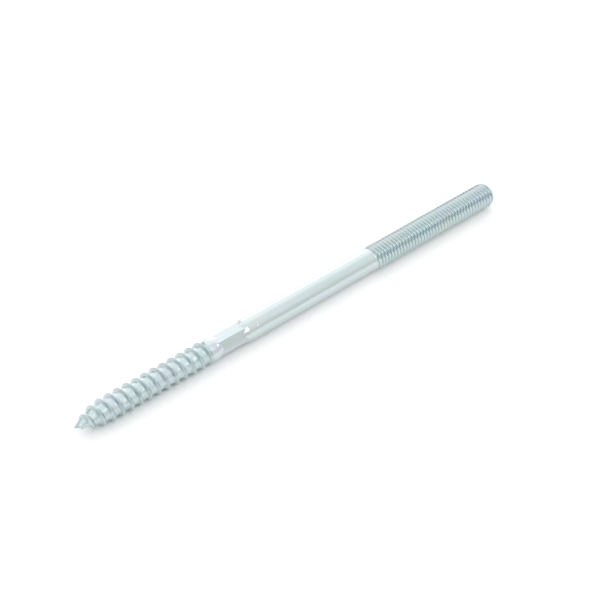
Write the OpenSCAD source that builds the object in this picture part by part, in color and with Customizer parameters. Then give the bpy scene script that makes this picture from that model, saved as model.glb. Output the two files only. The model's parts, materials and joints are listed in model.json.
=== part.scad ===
// Hanger bolt: a coarse wood thread with a gimlet point, a pressed hexagon for
// the wrench, a plain shank, and a machine thread that takes a nut.
// It lies along X with the point at -X, on the plane z = 0. Millimetres.

/* [Overall] */
// Length from the tip of the point to the chamfered end
total_length = 160; // [140:1:240]

/* [Machine thread] */
// Outside diameter of the machine thread
machine_d = 7.9; // [6:0.1:10]
// Length of the machine thread, chamfer included
machine_length = 52; // [20:0.5:70]
// Length of the chamfer that starts the nut
chamfer_length = 1.8; // [0.5:0.1:3]
// Depth of the chamfer, from the crests to the rim of the end face
chamfer_depth = 1.3; // [0.4:0.1:2]
// Length of the run-out cone between the shank and the machine thread
machine_runout = 1.2; // [0.4:0.1:3]

/* [Shank] */
// Diameter of the plain shank, as drawn before the threads are rolled
shank_d = 7.1; // [5.5:0.1:9]

/* [Hexagon for the wrench] */
// Depth to which the six flats are pressed into the shank
flat_depth = 0.5; // [0.2:0.05:0.8]
// Length of the pressed zone, shoulders included
hex_length = 11.5; // [9:0.5:20]
// Length of plain collar between the wood thread and the hexagon
collar_length = 1.2; // [0.4:0.1:4]
// Slope of the shoulders at the two ends of the flats, in degrees
shoulder_slope = 15; // [12:1:45]
// Turn of the hexagon about the axis, in degrees
hex_turn = 0; // [0:1:60]

/* [Wood thread] */
// Outside diameter of the wood thread
wood_d = 7.8; // [6:0.1:10]
// Core diameter of the wood thread
wood_core_d = 5.7; // [3.5:0.1:7]
// Length of the wood thread, from the tip to the collar
wood_length = 46.7; // [36:0.1:60]
// Distance between two turns of the wood thread
wood_pitch = 3.1; // [2.4:0.05:4.5]
// Width of the thread's crest
crest_width = 0.3; // [0.2:0.05:0.6]
// Angle between the two flanks of the thread, in degrees
flank_angle = 50; // [40:1:65]
// Length of the gimlet point, from the tip to the full diameter
point_length = 11; // [6:0.5:14]
// Where the thread fin leaves the point, measured from the tip
fin_start = 0.6; // [0.4:0.1:2]
// Angle about the axis at which the crests stand at whole pitches from the tip, in degrees
wood_turn = 338; // [0:1:359]

/* [Hidden] */
$fn = 96;

zinc = [0.80, 0.84, 0.86];
machine_r = machine_d / 2;
shank_r = shank_d / 2;
wood_r = wood_d / 2;
core_r = wood_core_d / 2;
hex_r = shank_r - flat_depth;

// Stations along the axis, measured from the tip
hex_start = wood_length + collar_length;
hex_end = hex_start + hex_length;
machine_start = total_length - machine_length;

// The cone that swells from the wood thread's core to the shank
collar_cone = 1.5;
// How far a cutter or a buried end reaches past the surface it meets
overlap = 0.5;
// Sides of the hexagon
hex_sides = 6;

// Facets of the wood thread in one turn
columns = 36;
// Turns over which the fin rises at the point, and over which it fades at the collar
rise_turns = 0.5;
fade_turns = 0.8;
// Share of the core's radius that is left at its buried end, and how many turns
// that end reaches past the strip
buried_share = 0.5;
buried_turns = 0.5;
// The thread strip starts here, just behind the tip, and ends inside the shank
strip_start = 0.3;
strip_turns = ceil((wood_length - strip_start) / wood_pitch);
strip_columns = strip_turns * columns;
flank_width = (wood_r - core_r) * tan(flank_angle / 2);
ridge_width = crest_width + 2 * flank_width;

// Everything below is drawn from the tip along +Z, then laid down along +X.
module laid_on_floor() {
    translate([-total_length / 2, 0, max(machine_r, shank_r, wood_r)])
        rotate([0, 90, 0])
            rotate(90)
                children();
}

// Share of its full radius that the point has reached at a station: an ogive.
function ogive(x) = 1 - pow(1 - min(1, x / point_length), 2);

// Radius of the core at a station: an ogive at the point, then a straight bar,
// then a taper that keeps its buried end well inside the hexagon.
function core_radius(x) =
    x < wood_length ? core_r * ogive(x)
    : core_r * max(buried_share, 1 - (x - wood_length) / wood_pitch);

// Radius of the envelope that the crests touch.
function crest_envelope(x) = wood_r * ogive(x);

// Height of the ridge over the core, from 0 at the fin's start to its full
// depth, and back to 0 where the thread runs out at the collar.
function ridge_height(x) =
    let (rise = min(1, max(0, (x - fin_start) / (rise_turns * wood_pitch))))
    let (fade = min(1, max(0, (wood_length - x) / (fade_turns * wood_pitch))))
    max(0, crest_envelope(x) - core_radius(x)) * min(rise, fade);

// The four corners of the ridge in one pitch: foot, crest, crest, foot.
ridge_offsets = [0, flank_width, flank_width + crest_width, ridge_width];
ridge_shares = [0, 1, 1, 0];
corners = len(ridge_offsets);

// A point of the thread strip: column i along the helix, corner j of the ridge.
function strip_point(i, j) =
    let (x = strip_start + wood_pitch * i / columns + ridge_offsets[j])
    let (r = core_radius(x) + ridge_shares[j] * ridge_height(x))
    let (a = 360 * i / columns + strip_turn)
    [r * cos(a), r * sin(a), x];

// The crests cross the angle wood_turn at whole pitches from the tip. The strip's
// first crest lies part of a pitch further on, so it is turned on by that part.
strip_turn = wood_turn + 360 * (strip_start + ridge_width / 2) / wood_pitch;

// The strip's points, one column after another; one more turn of feet closes it.
strip_points = [for (i = [0 : strip_columns]) for (j = [0 : corners - 1]) strip_point(i, j)];
last_feet = [for (i = [strip_columns + 1 : strip_columns + columns]) strip_point(i, 0)];
tip = [0, 0, 0];
buried_end = [0, 0, strip_start + wood_pitch * (strip_turns + buried_turns)];
strip_count = len(strip_points);
tip_index = strip_count + columns;
end_index = tip_index + 1;

// Index of a point; the ridge's next corner after the last is one turn on.
function at(i, j) =
    j == corners ? at(i + columns, 0)
    : i <= strip_columns ? corners * i + j
    : strip_count + i - strip_columns - 1;

// The open edges of the strip: round the tip, and round the buried end.
tip_edge = concat([for (i = [0 : columns]) at(i, 0)],
    [for (j = [corners - 1 : -1 : 1]) at(0, j)]);
end_edge = concat([for (i = [0 : columns]) at(strip_columns + i, 0)],
    [for (j = [corners - 1 : -1 : 1]) at(strip_columns, j)]);

strip_faces = [for (i = [0 : strip_columns - 1]) for (j = [0 : corners - 1]) each [
    [at(i, j), at(i, j + 1), at(i + 1, j)],
    [at(i + 1, j), at(i, j + 1), at(i + 1, j + 1)]]];
tip_faces = [for (k = [0 : len(tip_edge) - 1])
    [tip_index, tip_edge[k], tip_edge[(k + 1) % len(tip_edge)]]];
end_faces = [for (k = [0 : len(end_edge) - 1])
    [end_index, end_edge[(k + 1) % len(end_edge)], end_edge[k]]];

// The coarse thread, its core and its gimlet point, as one closed skin.
module wood_thread() {
    polyhedron(points = concat(strip_points, last_feet, [tip, buried_end]),
        faces = concat(strip_faces, tip_faces, end_faces));
}

// The turned outline: collar cone, shank, machine thread blank and chamfer.
module bar() {
    rotate_extrude()
        polygon([
            [0, wood_length - collar_cone - overlap],
            [core_r - overlap, wood_length - collar_cone - overlap],
            [shank_r, wood_length],
            [shank_r, machine_start],
            [machine_r, machine_start + machine_runout],
            [machine_r, total_length - chamfer_length],
            [machine_r - chamfer_depth, total_length],
            [0, total_length]]);
}

// A cone about the axis: radius r at station x, falling away towards dir.
module shoulder(x, dir) {
    fall = flat_depth + overlap;
    run = fall / tan(shoulder_slope);
    translate([0, 0, x])
        mirror([0, 0, dir > 0 ? 0 : 1])
            cylinder(h = run, r1 = shank_r, r2 = shank_r - fall);
}

// What the press leaves free: a ring round a hexagon, with coned ends.
module hex_press() {
    difference() {
        translate([0, 0, hex_start])
            cylinder(h = hex_length, r = shank_r + overlap);
        translate([0, 0, hex_start - overlap])
            rotate(hex_turn)
                cylinder(h = hex_length + 2 * overlap, r = hex_r / cos(180 / hex_sides),
                    $fn = hex_sides);
        shoulder(hex_start, 1);
        shoulder(hex_end, -1);
    }
}

module hanger_bolt() {
    color(zinc)
        laid_on_floor() {
            difference() {
                bar();
                hex_press();
            }
            wood_thread();
        }
}

hanger_bolt();
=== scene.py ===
# %% [markdown]
# # A zinc-plated hanger bolt
#
# A hanger bolt joins wood to metal. One end is a coarse wood thread with a gimlet
# point, which is driven into timber; the other is a fine machine thread, which takes a
# nut. In between are a hexagon for a wrench and a plain shank. All of it is one length
# of steel wire: the threads are rolled into it and the hexagon is pressed into it, so
# the finished model is one closed skin.
#
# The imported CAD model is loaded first. It fixes the overall length, the machine
# thread's diameter and the places of the three working features, so those are read
# from it. Finer sizes, such as a pitch or a rounding, are named where they are used.

# %% Load the frame
import json
import math

import bpy
import numpy as np
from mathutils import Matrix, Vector


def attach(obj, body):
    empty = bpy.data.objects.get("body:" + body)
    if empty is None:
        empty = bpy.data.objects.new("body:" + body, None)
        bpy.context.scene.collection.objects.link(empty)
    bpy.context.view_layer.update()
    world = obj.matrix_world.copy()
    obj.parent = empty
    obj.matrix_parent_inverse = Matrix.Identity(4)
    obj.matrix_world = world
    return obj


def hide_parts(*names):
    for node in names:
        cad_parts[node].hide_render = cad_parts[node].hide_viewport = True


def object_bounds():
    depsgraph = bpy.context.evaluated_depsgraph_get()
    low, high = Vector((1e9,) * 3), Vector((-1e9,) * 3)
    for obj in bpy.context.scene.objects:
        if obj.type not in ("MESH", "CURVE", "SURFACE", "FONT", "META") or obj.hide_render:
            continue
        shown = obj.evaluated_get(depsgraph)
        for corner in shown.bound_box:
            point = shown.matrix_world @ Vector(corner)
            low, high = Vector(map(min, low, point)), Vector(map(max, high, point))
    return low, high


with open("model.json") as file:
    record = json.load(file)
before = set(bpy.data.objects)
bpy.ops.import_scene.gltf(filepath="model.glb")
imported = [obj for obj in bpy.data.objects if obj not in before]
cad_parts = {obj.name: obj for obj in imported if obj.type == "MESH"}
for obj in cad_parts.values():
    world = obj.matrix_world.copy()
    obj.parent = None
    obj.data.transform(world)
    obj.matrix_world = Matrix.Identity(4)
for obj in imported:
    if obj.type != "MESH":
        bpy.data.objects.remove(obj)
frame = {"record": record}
cad_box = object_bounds()
print("CAD box in metres:", [[round(value, 5) for value in corner] for corner in cad_box])

# %% [markdown]
# ## Stations along the bolt
#
# A bolt is easiest to think of as a lathe hand does: a station, which is a distance
# from the tip, and a radius. The work is done in millimetres, with the tip at zero and
# the axis along X, and the finished bolt is brought down to metres and laid in its
# place at the very end. Millimetres also suit the mesh tools, whose merging distances
# are made for sizes near one.

# %% Stations and radii, in millimetres
METRE = 1000.0

mounts = {mount["name"]: mount for mount in frame["record"]["mounts"]}
tip_x = cad_box[0].x
length = (cad_box[1].x - tip_x) * METRE


def station(name):
    """How far a mount of the frame lies from the tip."""
    return (mounts[name]["pos_m"][0] - tip_x) * METRE


machine_radius = mounts["machine_thread"]["dims"]["r_mm"]
half_thread = mounts["machine_thread"]["dims"]["length_mm"] / 2
thread_start = station("machine_thread") - half_thread
chamfer_start = station("machine_thread") + half_thread
wood_end = station("wood_thread")
hex_middle = station("hex_drive")
axis_height = mounts["machine_thread"]["pos_m"][2] * METRE
print(f"length {length:.2f}, wood thread to {wood_end:.2f}, hexagon at {hex_middle:.2f}")
print(f"machine thread from {thread_start:.2f} to {chamfer_start:.2f}, radius {machine_radius:.2f}")

# %% [markdown]
# ## Drawing an outline
#
# Every part of the bolt starts as a line of points: half of a lathe drawing. By hand
# this is done by adding a plane, merging it to one point, and extruding that point from
# corner to corner. The helper does the same. Points are given as (station, radius).

# %% Draw an outline
def deselect_all():
    bpy.ops.object.select_all(action="DESELECT")


def pick(piece):
    """Makes one piece the only one that operators act on."""
    deselect_all()
    piece.select_set(True)
    bpy.context.view_layer.objects.active = piece


def draw_outline(name, corners):
    """A line of points, begun as one point and extruded from corner to corner."""
    deselect_all()
    first = corners[0]
    bpy.ops.mesh.primitive_plane_add(size=1, location=(first[0], first[1], 0))
    piece = bpy.context.object
    piece.name = name
    piece.data.name = name
    bpy.ops.object.transform_apply(location=True, rotation=True, scale=True)
    bpy.ops.object.mode_set(mode="EDIT")
    bpy.ops.mesh.select_mode(type="VERT")
    bpy.ops.mesh.select_all(action="SELECT")
    bpy.ops.mesh.merge(type="CENTER")
    for start, end in zip(corners, corners[1:]):
        step = (end[0] - start[0], end[1] - start[1], 0)
        bpy.ops.mesh.extrude_region_move(TRANSFORM_OT_translate={"value": step})
    bpy.ops.object.mode_set(mode="OBJECT")
    print(f"{name}: outline of {len(piece.data.vertices)} points")
    return piece


# %% [markdown]
# ## Rounding a corner
#
# No rolled edge is truly sharp, and a little roundness is what catches the light. An
# edge of the swept form could be bevelled all along its helix, but it is far less work
# to bevel the one point of the outline that it comes from, before the sweep. A rule
# chooses the points by their station and radius.

# %% Round some corners of an outline
# How near, in mm, a point has to be to the place that a rule names
CLOSE = 0.01


def round_corners(piece, width, segments, chosen):
    """Bevels the points of an outline that the rule chooses."""
    pick(piece)
    bpy.ops.object.mode_set(mode="EDIT")
    bpy.ops.mesh.select_all(action="DESELECT")
    bpy.ops.object.mode_set(mode="OBJECT")
    for point in piece.data.vertices:
        point.select = chosen(point.co.x, point.co.y)
    bpy.ops.object.mode_set(mode="EDIT")
    bpy.ops.mesh.bevel(offset=width, segments=segments, affect="VERTICES")
    bpy.ops.object.mode_set(mode="OBJECT")
    print(f"{piece.name}: {len(piece.data.vertices)} points after rounding by {width} mm")


# %% [markdown]
# ## Turning an outline
#
# A lathe turns an outline about an axis, and a thread does the same while it moves
# along that axis. The Screw modifier makes both. It leaves double points where two
# turns meet, and it doesn't know which side of a face is out, so every swept form is
# cleaned and its faces are counted.

# %% Turn an outline
# Columns of faces in one turn, and how near, in mm, doubles lie that are merged
COLUMNS = 96
MERGE = 0.0005


def clean(piece):
    """Merges what meets and points the faces outwards."""
    pick(piece)
    bpy.ops.object.mode_set(mode="EDIT")
    bpy.ops.mesh.select_all(action="SELECT")
    bpy.ops.mesh.remove_doubles(threshold=MERGE)
    bpy.ops.mesh.normals_make_consistent(inside=False)
    bpy.ops.object.mode_set(mode="OBJECT")


def turn(piece, turns=1, pitch=0.0, columns=COLUMNS):
    """Sweeps an outline about the X axis: a lathe at pitch 0, otherwise a thread."""
    pick(piece)
    sweep = piece.modifiers.new("sweep", "SCREW")
    sweep.axis = "X"
    sweep.angle = math.tau
    sweep.screw_offset = pitch
    sweep.iterations = turns
    sweep.steps = columns
    sweep.render_steps = columns
    bpy.ops.object.modifier_apply(modifier=sweep.name)
    clean(piece)


def report(piece):
    """Prints how many triangles a mesh makes and whether it is closed."""
    triangles = sum(len(face.vertices) - 2 for face in piece.data.polygons)
    edges = {}
    for face in piece.data.polygons:
        for key in face.edge_keys:
            edges[key] = edges.get(key, 0) + 1
    odd = sum(1 for count in edges.values() if count != 2)
    print(f"{piece.name}: {triangles} triangles, {odd} open or crowded edges")


print(f"one turn has {COLUMNS} columns, {360 / COLUMNS} degrees each")

# %% [markdown]
# ## Squeezing a swept form
#
# Rolling dies and presses squeeze a round rod: every point of its skin moves towards
# or away from the axis. No modelling tool does that by a rule, so this one helper does:
# it hands each point's station, radius and angle to a rule and takes the new station
# and radius back. The angle is 0 towards +Y and grows towards +Z.

# %% Squeeze a swept form by a rule
def squeeze(piece, rule):
    """Moves every point of a form to the station and radius that the rule gives."""
    spots = np.empty(3 * len(piece.data.vertices))
    piece.data.vertices.foreach_get("co", spots)
    x, y, z = spots.reshape(-1, 3).T
    angle = np.arctan2(z, y)
    x, radius = rule(x, np.hypot(y, z), angle)
    moved = np.stack([x, radius * np.cos(angle), radius * np.sin(angle)], axis=1)
    piece.data.vertices.foreach_set("co", moved.ravel())
    piece.data.update()
    clean(piece)
    report(piece)


# %% [markdown]
# ## The wood thread
#
# A wood thread is a thin ridge wound round a core, with a wide smooth root between
# its turns. It is drawn as one pitch of its section, from root to root, and swept
# along the axis. Sweeping a true section keeps the crest sharp with few faces, where
# a displaced cylinder would need very many. The section is the same on both sides of
# its crest, so half of it is given and the other half is its mirror image.

# %% Section of the wood thread
wood_pitch = 3.1
wood_radius = 3.9
core_radius = 2.85
crest_width = 0.2
flank_angle = math.radians(50)
ridge_height = wood_radius - core_radius
foot = crest_width / 2 + ridge_height * math.tan(flank_angle / 2)
# One more point in each half of the root, so that it bends evenly along the gimlet point
root_point = 0.75 * wood_pitch / 2
# The angle at which the crests stand at whole pitches from the tip
crest_turn = math.radians(338)
first_crest = -wood_pitch * crest_turn / math.tau


def draw_ridge(name, middle, half_section):
    """One pitch of a thread, from half of its section and the middle of its crest."""
    mirrored = [(-offset, radius) for offset, radius in reversed(half_section)]
    return draw_outline(name, [(middle + offset, radius)
                               for offset, radius in mirrored + half_section])


wood_thread = draw_ridge("wood_thread", first_crest, [
    (crest_width / 2, wood_radius),
    (foot, core_radius),
    (root_point, core_radius),
    (wood_pitch / 2, core_radius)])

# %% [markdown]
# ## Sweeping the wood thread
#
# The crest is nearly sharp and the root is a wide hollow, as the dies leave them. The
# sweep begins before the tip and ends past the collar, so both ends can be shaped from
# a thread that is already at its full depth.

# %% Sweep the wood thread
crest_rounding = 0.09
root_rounding = 0.35
spare_turns = 3

round_corners(wood_thread, crest_rounding, 2, lambda x, radius: radius > wood_radius - CLOSE)
round_corners(wood_thread, root_rounding, 4, lambda x, radius:
              abs(abs(x - first_crest) - foot) < CLOSE)
wood_turns = math.ceil(wood_end / wood_pitch) + spare_turns
turn(wood_thread, wood_turns, wood_pitch)
report(wood_thread)

# %% [markdown]
# ## The gimlet point
#
# The point is what makes the bolt bite. The core narrows to a cone and the ridge stays
# almost as wide as it was, so near the tip it is a tall fin that pulls the bolt in.
# Near the collar the ridge fades away, because the rolling dies end there. Both are
# rules of the station alone: one for the core, one for the line that the crests touch.
# On the point the fin also leans a little towards the tip, as a rolled gimlet does.

# %% Rules for the core and the ridge
point_length = 11.0
core_fullness = 2.0
crest_fullness = 2.15
fin_start = 0.5
rise_length = 2.0
fade_length = 2.0
# Past its end the core tapers off inside the bar
tail_taper = 4.0


def smooth(share):
    """Eases from 0 to 1 while the share goes from 0 to 1."""
    share = np.clip(share, 0, 1)
    return share * share * (3 - 2 * share)


def ogive(x, radius, fullness):
    """A pointed nose that swells to the full radius at point_length."""
    return radius * (1 - np.clip(1 - x / point_length, 0, 1) ** fullness)


def core_at(x):
    """Radius of the core: the point, the straight length, and a tail inside the bar."""
    return np.where(x < wood_end, ogive(x, core_radius, core_fullness),
                    core_radius * (1 - (x - wood_end) / tail_taper))


def height_at(x):
    """How far the crest stands above the core."""
    rise = smooth((x - fin_start) / rise_length)
    fade = smooth((wood_end - x) / fade_length)
    crest = ogive(x, wood_radius, crest_fullness)
    return np.maximum(crest - core_at(x), 0) * rise * fade


middle = np.array([point_length / 2])
print(f"half way up the point: core radius {core_at(middle)[0]:.2f}, "
      f"ridge {height_at(middle)[0]:.2f} mm")

# %% [markdown]
# ## Shaping the point and the run-out
#
# The swept thread is squeezed by those rules. What lies before the tip or past the
# buried end is drawn together on the axis, where the doubles merge and close the form.

# %% Shape the point and the run-out
lean = 0.25
buried_end = wood_end + 2.0


def gimlet(x, radius, angle):
    """Shapes the core and the ridge, and gathers both ends on the axis."""
    share = (radius - core_radius) / ridge_height
    shaped = core_at(x) + share * height_at(x)
    inside = (x > 0) & (x < buried_end)
    begun = smooth((x - fin_start) / rise_length)
    leaning = x - lean * share * begun * smooth(1 - x / point_length)
    return np.clip(leaning, 0, buried_end), np.where(inside, shaped, 0)


squeeze(wood_thread, gimlet)

# %% [markdown]
# ## Collar, hexagon and shank
#
# The shank is the bare drawn wire, and the collar is the short cone between it and the
# wood thread, with a low step where the thread rolls stopped. A cylinder could be
# scaled ring by ring, but an outline turned about the axis gives all the steps at once.
# Its first corners are hidden inside the core of the wood thread.

# %% Outline of the bar
shank_radius = 3.55
collar_radius = 3.26
step_radius = shank_radius - 0.19
neck_radius = core_radius - 0.4
neck_start = wood_end - 2.4
neck_end = wood_end - 2.2
collar_start = wood_end - 0.9
step_start = wood_end - 0.4
collar_end = wood_end + 0.3
collar_rounding = 0.06
press_half = 5.75
press_start = hex_middle - press_half
press_end = hex_middle + press_half
# How far the crescents at the ends of the flats reach, and a ring of points just past
# the flats, where the plain shank begins again
crescent = 2.2
guard_ring = press_end + 0.2
shank_buried = thread_start - 0.6

bar = draw_outline("bar", [
    (neck_start, 0),
    (neck_end, neck_radius),
    (collar_start, collar_radius),
    (step_start, step_radius),
    (collar_end, shank_radius),
    (press_start, shank_radius),
    (press_start + crescent, shank_radius),
    (press_end - crescent, shank_radius),
    (press_end, shank_radius),
    (guard_ring, shank_radius),
    (shank_buried, shank_radius),
    (shank_buried, 0)])
round_corners(bar, collar_rounding, 3, lambda x, radius:
              collar_start - CLOSE < x < step_start + CLOSE)

# %% [markdown]
# ## Turning the bar
#
# The two short spans where the hexagon will end are first cut finely, because the press
# needs points there to draw its curved edges with. The rest of the shank is straight
# and needs none.

# %% Turn the bar
crescent_cuts = 21


def split_spans(piece, cuts, chosen):
    """Cuts each span of an outline that the rule chooses into shorter ones."""
    pick(piece)
    bpy.ops.object.mode_set(mode="EDIT")
    bpy.ops.mesh.select_mode(type="EDGE")
    bpy.ops.mesh.select_all(action="DESELECT")
    bpy.ops.object.mode_set(mode="OBJECT")
    points = piece.data.vertices
    for span in piece.data.edges:
        middle = (points[span.vertices[0]].co.x + points[span.vertices[1]].co.x) / 2
        span.select = chosen(middle)
    bpy.ops.object.mode_set(mode="EDIT")
    bpy.ops.mesh.subdivide(number_cuts=cuts)
    bpy.ops.mesh.select_mode(type="VERT")
    bpy.ops.object.mode_set(mode="OBJECT")


split_spans(bar, crescent_cuts,
            lambda x: press_half - crescent < abs(x - hex_middle) < press_half)
turn(bar, columns=2 * COLUMNS)
report(bar)

# %% [markdown]
# ## The pressed hexagon
#
# A wrench needs flats, so a press with six faces squeezes a hexagon into the wire. The
# faces end in a shallow cone, which leaves a crescent at each end of every flat, and
# the steel springs back after the press opens, so the flats stay slightly domed. A
# Boolean with a hexagonal bar would give flat flats with hard edges. Here the squeeze
# helper does it instead: the wire's radius becomes the least of the wire's own and the
# press's, with the meeting line eased.

# %% Press the hexagon
flat_radius = 3.05
flat_angles = np.radians(np.arange(30, 390, 60))
# How much lower the corners end than those of a true hexagon, and how crisp they are
dome = 0.08
corner_sharpness = 160
edge_softness = 0.05
shoulder_slope = math.tan(math.radians(15))


def hexagon_at(angle):
    """The press's radius: a hexagon with eased corners and domed flats."""
    facing = np.maximum(np.cos(angle[:, None] - flat_angles), 0)
    hexagon = flat_radius / np.sum(facing ** corner_sharpness, axis=1) ** (1 / corner_sharpness)
    # A corner's squared radius is a third more than the flat's, so this goes from 0 at
    # the middle of a flat to 1 at a corner.
    cornered = 3 * ((hexagon / flat_radius) ** 2 - 1)
    return hexagon - dome * cornered


def soft_min(a, b):
    """The lesser of two radii, eased where they are nearly the same."""
    blend = np.maximum(edge_softness - np.abs(a - b), 0) / edge_softness
    return np.minimum(a, b) - blend ** 2 * edge_softness / 4


def press(x, radius, angle):
    """Squeezes the wire to the hexagon, with a cone at each end of the flats."""
    reach = np.abs(x - hex_middle)
    cone = shank_radius - (press_half - reach) * shoulder_slope
    pressed = np.maximum(hexagon_at(angle), cone)
    return x, np.where(reach < press_half, soft_min(radius, pressed), radius)


squeeze(bar, press)

# %% [markdown]
# ## The machine thread
#
# A metric M8 thread: 1.25 mm from crest to crest, flanks at 60 degrees, crests rolled
# slightly round and roots rounded by the dies. It is rolled, so it stands half above
# and half below the plain shank, and where the dies end both halves fade into it.

# %% Section and sweep of the machine thread
machine_pitch = 1.25
root_radius = 3.18
machine_crest = 0.22
half_flank_angle = math.radians(30)
machine_foot = machine_crest / 2 + (machine_radius - root_radius) * math.tan(half_flank_angle)
machine_crest_rounding = 0.1
machine_root_rounding = 0.08
# Turns swept before the thread's start and past the bolt's end, to be cut away again,
# and how far the crests are moved along
lead_turns = 3
end_turns = 2
machine_phase = 0.6
first_turn = thread_start - lead_turns * machine_pitch + machine_phase

machine_thread = draw_ridge("machine_thread", first_turn, [
    (machine_crest / 2, machine_radius),
    (machine_foot, root_radius),
    (machine_pitch / 2, root_radius)])
round_corners(machine_thread, machine_crest_rounding, 2, lambda x, radius:
              radius > machine_radius - CLOSE)
round_corners(machine_thread, machine_root_rounding, 2, lambda x, radius:
              abs(abs(x - first_turn) - machine_foot) < CLOSE)
machine_turns = math.ceil((length - first_turn) / machine_pitch) + end_turns
turn(machine_thread, machine_turns, machine_pitch)
report(machine_thread)

# %% [markdown]
# ## Where the machine thread begins
#
# The dies are chamfered, so the first turn of the thread grows out of the shank over
# about one pitch. The squeeze helper scales the whole relief, crest and root together,
# from nothing to full along that length. The faded end lies a hair under the shank's
# skin, so the shank covers it.

# %% Fade the thread into the shank
runout = 1.3
runout_start = thread_start - 0.45
faded_depth = 0.008
faded_start = runout_start - 1.2
overrun = length + 1.0


def roll_out(x, radius, angle):
    """Grows the thread out of the shank, and gathers both ends on the axis."""
    grown = smooth((x - runout_start) / runout)
    rolled = shank_radius - faded_depth + grown * (radius - shank_radius)
    inside = (x > faded_start) & (x < overrun)
    return np.clip(x, faded_start, overrun), np.where(inside, rolled, 0)


squeeze(machine_thread, roll_out)

# %% [markdown]
# ## The end of the machine thread
#
# The wire was cut and chamfered before it was rolled, so a nut starts easily. The
# swept thread runs past the end, and it is trimmed by keeping only what lies inside a
# turned form with that chamfer. A bevel couldn't do this, since the chamfer crosses
# the turns of the thread. The form stands clear of the thread everywhere else.

# %% Cut the thread to length and chamfer its end
end_radius = 2.75
rim_radius = 3.3
rim_start = length - 0.5
crest_line = machine_radius + 0.02
clear_radius = machine_radius + 0.5
clear_end = chamfer_start - 0.4
crest_end = chamfer_start - 0.1
form_start = thread_start - 4

end_form = draw_outline("end_form", [
    (form_start, 0),
    (form_start, clear_radius),
    (clear_end, clear_radius),
    (crest_end, crest_line),
    (rim_start, rim_radius),
    (length, end_radius),
    (length, 0)])
turn(end_form)
report(end_form)


def combine(piece, other, operation):
    """Applies a Boolean with another closed piece, and removes the other."""
    pick(piece)
    boolean = piece.modifiers.new(operation.lower(), "BOOLEAN")
    boolean.operation = operation
    boolean.solver = "MANIFOLD"
    boolean.object = other
    bpy.ops.object.modifier_apply(modifier=boolean.name)
    bpy.data.objects.remove(other)


combine(machine_thread, end_form, "INTERSECT")
report(machine_thread)

# %% [markdown]
# ## One piece of steel
#
# The real bolt is one piece, so the model is one closed skin. The wood thread and the
# machine thread each reach a little way into the bar, and a Boolean union removes what
# lies inside. Surfaces that only touch would leave slivers, so they always cross. Along
# the seams a Boolean still leaves a few points almost on top of each other, so the
# doubles are merged at the end, and the skin is then closed and has no empty faces.

# %% Join the lengths into one skin
bolt = bar
bolt.name = "zinc_hanger_bolt"
bolt.data.name = "zinc_hanger_bolt"
combine(bolt, wood_thread, "UNION")
report(bolt)
combine(bolt, machine_thread, "UNION")
clean(bolt)
report(bolt)

# %% [markdown]
# ## Into the shared frame
#
# The bolt is brought down to metres and laid on its axis. The place and the scale are
# then applied, so the object sits at the origin and its place is in its mesh. Smooth
# shading is kept to edges under 32 degrees, which keeps the crests and the edges of the
# hexagon crisp.

# %% Lay the bolt in its place, in metres
crisp_from = math.radians(32)

pick(bolt)
bolt.scale = (1 / METRE,) * 3
bolt.location = (tip_x, 0, axis_height / METRE)
bpy.ops.object.transform_apply(location=True, rotation=True, scale=True)
bpy.ops.object.shade_smooth_by_angle(angle=crisp_from)
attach(bolt, "root")
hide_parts("hanger_bolt")
print(f"{bolt.name}: {[round(size * METRE, 2) for size in bolt.dimensions]} mm")

# %% [markdown]
# ## The zinc finish
#
# The bolt is zinc plated and then dipped in a clear blue passivation. Bare zinc is a
# bluish, satin metal. The dip adds a film that is thinner than a wavelength of light,
# so it shows faint clouds of lavender, cyan and straw. Drawing the wire left fine
# streaks along it. The rolled wood thread and the roots of the machine thread are
# rougher than the shank, and the threads' colour carries painted shade for their
# hollows, darkest in the roots of the machine thread.
#
# Everything is built from noise in Object coordinates, so nothing slides when the view
# changes and no image is needed. Small helpers keep the node tree readable: each adds
# a node or two and gives the output back.

# %% Helpers for the node trees
def material(name):
    """A new material, with its nodes and links to hand."""
    finish = bpy.data.materials.new(name)
    finish.use_nodes = True
    return finish, finish.node_tree.nodes, finish.node_tree.links


def feed(links, socket, value):
    """Links an output to a socket, or sets the socket to a plain value."""
    if isinstance(value, bpy.types.NodeSocket):
        links.new(value, socket)
    else:
        socket.default_value = value


def maths(nodes, links, operation, a, b=0.0):
    """One sum on two values; an operation on one value leaves the second at 0."""
    node = nodes.new("ShaderNodeMath")
    node.operation = operation
    feed(links, node.inputs[0], a)
    feed(links, node.inputs[1], b)
    return node.outputs[0]


def ramp(nodes, links, value, low, high, result_low, result_high):
    """Eases from one result to another while the value goes from low to high."""
    node = nodes.new("ShaderNodeMapRange")
    node.interpolation_type = "SMOOTHSTEP"
    feed(links, node.inputs["Value"], value)
    node.inputs["From Min"].default_value = low
    node.inputs["From Max"].default_value = high
    node.inputs["To Min"].default_value = result_low
    node.inputs["To Max"].default_value = result_high
    return node.outputs["Result"]


def noise(nodes, links, where, stretch, detail, roughness):
    """Noise on Object coordinates; stretch is how often it changes in a metre."""
    mapping = nodes.new("ShaderNodeMapping")
    mapping.inputs["Scale"].default_value = stretch
    links.new(where, mapping.inputs["Vector"])
    texture = nodes.new("ShaderNodeTexNoise")
    texture.inputs["Scale"].default_value = 1.0
    texture.inputs["Detail"].default_value = detail
    texture.inputs["Roughness"].default_value = roughness
    links.new(mapping.outputs["Vector"], texture.inputs["Vector"])
    return texture.outputs["Fac"]


def tint(nodes, links, amount, below, above, blend="MIX"):
    """Lays one colour over another, as paint layers do."""
    node = nodes.new("ShaderNodeMix")
    node.data_type = "RGBA"
    node.blend_type = blend
    feed(links, node.inputs[0], amount)
    feed(links, node.inputs[6], below)
    feed(links, node.inputs[7], above)
    return node.outputs[2]
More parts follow.
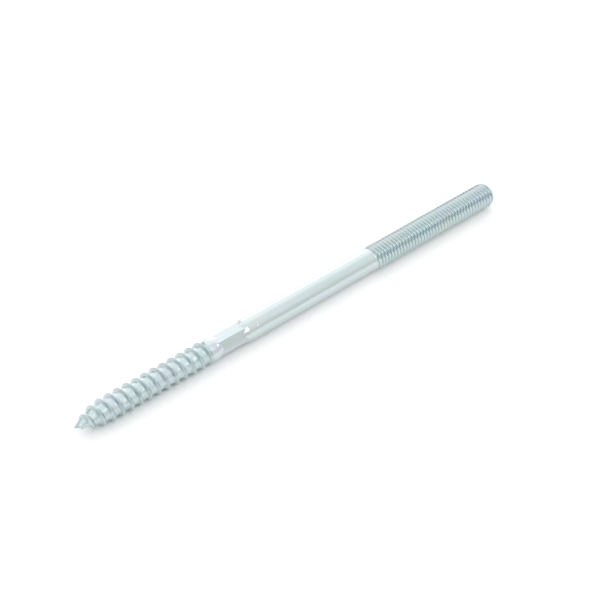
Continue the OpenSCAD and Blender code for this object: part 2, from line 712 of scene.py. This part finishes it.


# %% [markdown]
# ## Where on the bolt a spot lies
#
# The rolled threads are rougher than the drawn shank, and their colour carries painted
# shade. Painting a mask by hand would tie the finish to one mesh, so the masks are
# worked out from a spot's place: how far along the bolt it is, and how far from the axis.

# %% Place of a spot
zinc, nodes, links = material("zinc_plate")
shader = nodes["Principled BSDF"]
spot = nodes.new("ShaderNodeTexCoord").outputs["Object"]
parts = nodes.new("ShaderNodeSeparateXYZ")
links.new(spot, parts.inputs[0])

along = parts.outputs["X"]
height = maths(nodes, links, "SUBTRACT", parts.outputs["Z"], axis_height / METRE)
from_axis = maths(nodes, links, "SQRT", maths(
    nodes, links, "ADD",
    maths(nodes, links, "MULTIPLY", height, height),
    maths(nodes, links, "MULTIPLY", parts.outputs["Y"], parts.outputs["Y"])))


def place(millimetres):
    """The X coordinate, in metres, of a station."""
    return tip_x + millimetres / METRE


print(f"the tip is at X {place(0):.3f} m and the far end at {place(length):.3f} m")

# %% [markdown]
# ## Masks for the threads and the roots
#
# One mask is on along the wood thread and one along the machine thread, each with a
# short fade where the rolling ends. A third is on in the roots of the machine thread,
# where the plating is made rougher and darkened with painted shade, and is gone about
# half way up the flanks.

# %% Masks for the threads and the roots
root_from = root_radius - 0.05
root_to = root_radius + 0.45

in_wood = ramp(nodes, links, along, place(wood_end - 2), place(wood_end + 1), 1, 0)
in_machine = ramp(nodes, links, along, place(thread_start - 1), place(thread_start + 1), 0, 1)
threaded = maths(nodes, links, "MAXIMUM", in_wood, in_machine)
# Painted shade and roughness: this mask darkens the colour of the machine thread's roots and makes
# them rougher
rough_shaded_root = maths(nodes, links, "MULTIPLY", in_machine,
               ramp(nodes, links, from_axis, root_from / METRE, root_to / METRE, 1, 0))
print(f"machine thread dull at the root, from radius {root_from:.2f} to {root_to:.2f} mm")

# %% [markdown]
# ## Tints of the film
#
# Three sizes of noise do the work. Clouds about a centimetre long carry the tint of the
# passivation. Streaks, long along the wire and narrow across it, vary the brightness
# of the drawn shank. A grain far under a millimetre stands for the crystals of the
# plating. Each is weak by itself: a finish like this is recognised by small changes,
# not by a pattern. On the collar the film is a little thicker, so it is lavender all
# round, and that fades out along the hexagon.
#
# A ramp decides where a tint lies: its first two numbers are a range of the noise, and
# its last two are how strong the tint is at the start and at the end of that range.

# %% Noises, and the tints of the film
clouds = noise(nodes, links, spot, (110, 170, 170), 2.0, 0.5)
second_clouds = noise(nodes, links, spot, (110, 190, -190), 2.0, 0.5)
streaks = noise(nodes, links, spot, (60, 2600, 2600), 3.0, 0.6)
grain = noise(nodes, links, spot, (5200, 5200, 5200), 2.0, 0.6)

bare_zinc = (0.575, 0.655, 0.662, 1)
lavender = (0.615, 0.640, 0.705, 1)
cyan = (0.555, 0.662, 0.667, 1)
straw = (0.610, 0.660, 0.630, 1)
collar_film = 0.45

colour = tint(nodes, links, ramp(nodes, links, clouds, 0.52, 0.76, 0, 0.5), bare_zinc, lavender)
colour = tint(nodes, links, ramp(nodes, links, clouds, 0.28, 0.48, 0.75, 0), colour, cyan)
colour = tint(nodes, links, ramp(nodes, links, second_clouds, 0.52, 0.75, 0, 0.7), colour, straw)
on_collar = maths(
    nodes, links, "MULTIPLY",
    ramp(nodes, links, along, place(wood_end - 1.5), place(wood_end + 0.5), 0, collar_film),
    ramp(nodes, links, along, place(hex_middle - 5), place(hex_middle - 1), 1, 0))
colour = tint(nodes, links, on_collar, colour, lavender)
print(f"film: {len(nodes)} nodes so far")

# %% [markdown]
# ## Streaks, grain and painted shade on the threads
#
# The brightness of the streaks and the grain is laid over the tints by multiplying, so
# the hue stays. The same is done for painted shade on the threads: their colour is made
# a little darker and bluer than the shank's, standing in for the light that bounces
# between the turns, and at the roots of the machine thread darker still.

# %% Brightness of the plating, and painted shade on the threads
# Painted shade: the threads are made darker and bluer, standing in for the light that bounces
# between their turns
painted_thread_shade = (0.957, 0.987, 0.994, 1)
# Painted shade for the hollows at the roots of the machine thread
painted_root_shade = (0.87, 0.90, 0.91, 1)

brightness = maths(nodes, links, "ADD",
                   ramp(nodes, links, streaks, 0.3, 0.7, 0.965, 1.0),
                   ramp(nodes, links, grain, 0.3, 0.7, -0.012, 0.012))
grey = nodes.new("ShaderNodeCombineColor")
for channel in grey.inputs:
    links.new(brightness, channel)
colour = tint(nodes, links, 1.0, colour, grey.outputs[0], "MULTIPLY")
colour = tint(nodes, links, threaded, colour, painted_thread_shade, "MULTIPLY")
colour = tint(nodes, links, rough_shaded_root, colour, painted_root_shade, "MULTIPLY")
links.new(colour, shader.inputs["Base Color"])
shader.inputs["Metallic"].default_value = 1.0
print(f"colour: {len(nodes)} nodes so far")

# %% [markdown]
# ## Gloss
#
# Zinc plate is satin: it spreads a reflection but keeps its shape. The drawing streaks
# vary the roughness along the shank, and the rolled wood thread and the roots of the
# machine thread are rougher.

# %% Gloss of the plating
root_roughening = 0.08
wood_roughening = 0.07

gloss = maths(nodes, links, "ADD",
              ramp(nodes, links, streaks, 0.25, 0.75, 0.215, 0.285),
              ramp(nodes, links, clouds, 0.3, 0.7, -0.015, 0.03))
for mask, roughening in ((rough_shaded_root, root_roughening), (in_wood, wood_roughening)):
    gloss = maths(nodes, links, "ADD", gloss,
                  maths(nodes, links, "MULTIPLY", mask, roughening))
links.new(gloss, shader.inputs["Roughness"])
print(f"gloss: {len(nodes)} nodes so far")

# %% [markdown]
# ## Fine relief
#
# The relief is a bump, since it is far finer than the mesh: the grain everywhere, the
# streaks on the plain shank only, and on the wood thread the small dents that bolts get
# from each other when they tumble in the plating drum.

# %% Relief of the plating
grain_share = 0.35
streak_share = 0.8
dents_per_metre = 650
dent_depth = 0.0004

plain = maths(nodes, links, "SUBTRACT", 1.0, threaded)
relief = maths(nodes, links, "ADD",
               maths(nodes, links, "MULTIPLY", grain, grain_share),
               maths(nodes, links, "MULTIPLY", streaks,
                     maths(nodes, links, "MULTIPLY", plain, streak_share)))


def emboss(height, distance, strength, normal=None):
    """A bump: distance is how deep, in metres, a height of one stands for."""
    bump = nodes.new("ShaderNodeBump")
    bump.inputs["Strength"].default_value = strength
    bump.inputs["Distance"].default_value = distance
    links.new(height, bump.inputs["Height"])
    if normal is not None:
        links.new(normal, bump.inputs["Normal"])
    return bump.outputs["Normal"]


dents = noise(nodes, links, spot, (dents_per_metre,) * 3, 3.0, 0.55)
normal = emboss(maths(nodes, links, "MULTIPLY", dents, in_wood), dent_depth, 1.0)
print(f"dents about {METRE / dents_per_metre:.1f} mm apart")

# %% [markdown]
# ## A nick on the shank
#
# One small nick beside the hexagon catches the light. It is a shallow round dip, so a
# bump made from the distance to one spot on the skin is enough.

# %% Nick, and the finished surface
nick_station = 62.4
nick_angle = math.radians(136)
nick_reach = 0.0005
nick_depth = 0.00008
relief_depth = 0.00002
relief_strength = 0.25

to_nick = nodes.new("ShaderNodeVectorMath")
to_nick.operation = "DISTANCE"
links.new(spot, to_nick.inputs[0])
to_nick.inputs[1].default_value = (
    place(nick_station), shank_radius * math.cos(nick_angle) / METRE,
    (axis_height + shank_radius * math.sin(nick_angle)) / METRE)
nick = ramp(nodes, links, to_nick.outputs["Value"], 0, nick_reach, -1, 0)
normal = emboss(nick, nick_depth, 1.0, normal)
normal = emboss(relief, relief_depth, relief_strength, normal)
links.new(normal, shader.inputs["Normal"])

bolt.data.materials.clear()
bolt.data.materials.append(zinc)
print(f"zinc_plate: {len(nodes)} nodes")

# %% [markdown]
# ## The paper floor
#
# The bolt lies on white paper. The paper takes the soft shadow by itself. A little
# light of its own, for the camera and for mirror reflections only, lifts it to clean
# white where it is unshaded, and doesn't light the bolt. That light is held back in a
# narrow strip beside the bolt, which paints a dark shadow along the line of contact.

# %% Floor
FLOOR_SIZE = 4
camera_glow = 0.1
mirror_glow = 0.15
# Distances, in metres, across which the glow comes in beside the bolt and past its ends;
# the unlit strip they leave beside the bolt is a painted contact shadow
beside_bolt = (0.0006, 0.0018)
past_end = (0.070, 0.079)

deselect_all()
bpy.ops.mesh.primitive_plane_add(size=FLOOR_SIZE, location=(0, 0, 0))
floor = bpy.context.object
floor.name = "floor"
paper, nodes, links = material("white_paper")
sheet = nodes["Principled BSDF"]
sheet.inputs["Base Color"].default_value = (0.9, 0.9, 0.9, 1)
sheet.inputs["Roughness"].default_value = 0.9
sheet.inputs["Specular IOR Level"].default_value = 0.1
sheet.inputs["Emission Color"].default_value = (1, 1, 1, 1)

path = nodes.new("ShaderNodeLightPath")
seen = maths(nodes, links, "MULTIPLY", path.outputs["Is Camera Ray"], camera_glow)
mirrored = maths(nodes, links, "MULTIPLY", path.outputs["Is Glossy Ray"], mirror_glow)
sheet_spot = nodes.new("ShaderNodeSeparateXYZ")
links.new(nodes.new("ShaderNodeTexCoord").outputs["Object"], sheet_spot.inputs[0])
# Painted shadow: the glow fades to nothing within about two millimetres of the bolt, which darkens
# a strip along its line of contact
beside = ramp(nodes, links, maths(nodes, links, "ABSOLUTE", sheet_spot.outputs["Y"]),
              *beside_bolt, 0, 1)
beyond = ramp(nodes, links, maths(nodes, links, "ABSOLUTE", sheet_spot.outputs["X"]),
              *past_end, 0, 1)
glow = maths(nodes, links, "MULTIPLY", maths(nodes, links, "ADD", seen, mirrored),
             maths(nodes, links, "MAXIMUM", beside, beyond))
links.new(glow, sheet.inputs["Emission Strength"])
floor.data.materials.append(paper)
print(f"floor: {FLOOR_SIZE} m square, {len(nodes)} nodes")

# %% [markdown]
# ## The light tent
#
# Satin metal shows its surroundings more than its own colour, so the light is a white
# tent with soft boxes, as for a catalogue. The tent is the world. It begins as an even
# light that grows towards the top, and each further entry is a round patch of the wall,
# with a soft edge, that is brighter or darker than the rest. The bright ones are the
# soft boxes at the right. The dark ones are the open front of the tent, the gap between
# two of its panels and the edge of the table, and they draw the dark lines that give
# the metal its form.
#
# The camera itself sees plain white, so the background stays clean from every side.

# %% A patch of the tent
world = bpy.data.worlds.new("tent")
bpy.context.scene.world = world
world.use_nodes = True
nodes, links = world.node_tree.nodes, world.node_tree.links
outward = nodes.new("ShaderNodeTexCoord").outputs["Generated"]


def toward(azimuth, elevation):
    """The direction at an azimuth, counted from +X towards +Y, and an elevation."""
    azimuth, elevation = math.radians(azimuth), math.radians(elevation)
    return Vector((math.cos(azimuth) * math.cos(elevation),
                   math.sin(azimuth) * math.cos(elevation), math.sin(elevation)))


def add_patch(light, azimuth, elevation, inner, outer, amount):
    """Adds a patch of tent wall: full to the inner angle and gone at the outer."""
    facing = nodes.new("ShaderNodeVectorMath")
    facing.operation = "DOT_PRODUCT"
    links.new(outward, facing.inputs[0])
    facing.inputs[1].default_value = toward(azimuth, elevation)
    inside = ramp(nodes, links, facing.outputs["Value"],
                  math.cos(math.radians(outer)), math.cos(math.radians(inner)), 0, 1)
    add = nodes.new("ShaderNodeVectorMath")
    add.operation = "MULTIPLY_ADD"
    links.new(inside, add.inputs[0])
    add.inputs[1].default_value = amount
    feed(links, add.inputs[2], light)
    return add.outputs[0]


print("straight up is", [round(value, 3) for value in toward(0, 90)])

# %% [markdown]
# ## The patches
#
# Each row is a name, the azimuth and elevation of the middle, the angles at which the
# patch starts to fade and is gone, and what it adds in red, green and blue. Dark
# patches may overlap, so the sum is kept from falling below a faint light.

# %% Tent
wall = (0.66, 0.614, 0.58)
darkest = (0.05, 0.05, 0.05)
patches = [
    ("top", 0, 90, 0, 150, (0.47, 0.52, 0.55)),
    ("right side", 69.6, 0, 54.8, 85.3, (0.332, 0.330, 0.350)),
    ("right soft box", 55.3, 6.5, 0, 25.2, (0.90, 0.75, 0.70)),
    ("gap between panels", 99, 15, 12, 26, (-1.12, -1.07, -1.03)),
    ("table edge", 302, 17, 0, 14, (-0.11, -0.11, -0.11)),
    ("open front, left", 190, -10, 0, 40.9, (-0.95, -0.83, -0.72)),
    ("open front, middle", 243, -10, 0, 39.1, (-0.90, -0.79, -0.70))]

light = wall
for name, *shape in patches:
    light = add_patch(light, *shape)
    print(f"tent patch: {name}")

kept_light = nodes.new("ShaderNodeVectorMath")
kept_light.operation = "MAXIMUM"
links.new(light, kept_light.inputs[0])
kept_light.inputs[1].default_value = darkest
path = nodes.new("ShaderNodeLightPath")
seen = tint(nodes, links, path.outputs["Is Camera Ray"], kept_light.outputs[0], (1, 1, 1, 1))
sky = nodes["Background"]
links.new(seen, sky.inputs["Color"])
sky.inputs["Strength"].default_value = 1.0

# %% [markdown]
# ## Two lamps
#
# A tall strip lamp stands at the front. It glints on the crescents at one end of the
# hexagon, along the shank and on the crests of the threads, and it casts the soft
# shadow. A small round lamp at the side glints on the crescents at the other end. A
# lamp's power spreads over its face and over all the directions that the face looks
# to, so the helper takes the brightness of the face and works out the power.

# %% Lamps
def add_lamp(name, direction, distance, width, height, radiance):
    """An oval lamp that faces the bolt from a direction."""
    deselect_all()
    bpy.ops.object.light_add(type="AREA", location=direction * distance)
    lamp = bpy.context.object
    lamp.name = name
    lamp.rotation_euler = direction.to_track_quat("Z", "Y").to_euler()
    lamp.data.shape = "ELLIPSE"
    lamp.data.size = width
    lamp.data.size_y = height
    face = math.pi * width * height / 4
    lamp.data.energy = radiance * math.pi * face
    print(f"{name}: {lamp.data.energy:.2f} W")


add_lamp("front_strip", toward(269, 52), distance=1.5, width=0.26, height=0.95, radiance=3.0)
add_lamp("side_lamp", toward(346, 27), distance=1.5, width=0.28, height=0.28, radiance=2.6)

# %% [markdown]
# ## The camera
#
# The camera stands off the point's end of the bolt, about forty degrees round from the
# square side view and forty degrees up. A long lens keeps the two ends nearly the same
# size. The camera is placed by an azimuth, an elevation and a distance from a spot near
# the middle of the axis.

# %% Camera
azimuth = math.radians(-41.283)
elevation = math.radians(40.466)
distance = 0.48158
back = Vector((math.sin(azimuth) * math.cos(elevation),
               -math.cos(azimuth) * math.cos(elevation),
               math.sin(elevation)))
target = Vector((0.000765, -0.000189, axis_height / METRE))

deselect_all()
bpy.ops.object.camera_add(location=target + back * distance)
camera = bpy.context.object
camera.rotation_euler = back.to_track_quat("Z", "Y").to_euler()
camera.data.sensor_width = 36
camera.data.lens = 98.5
camera.data.clip_start = 0.01
bpy.context.scene.camera = camera
bpy.context.scene.view_settings.view_transform = "Standard"
print(f"camera {distance:.3f} m from the bolt, lens {camera.data.lens} mm")
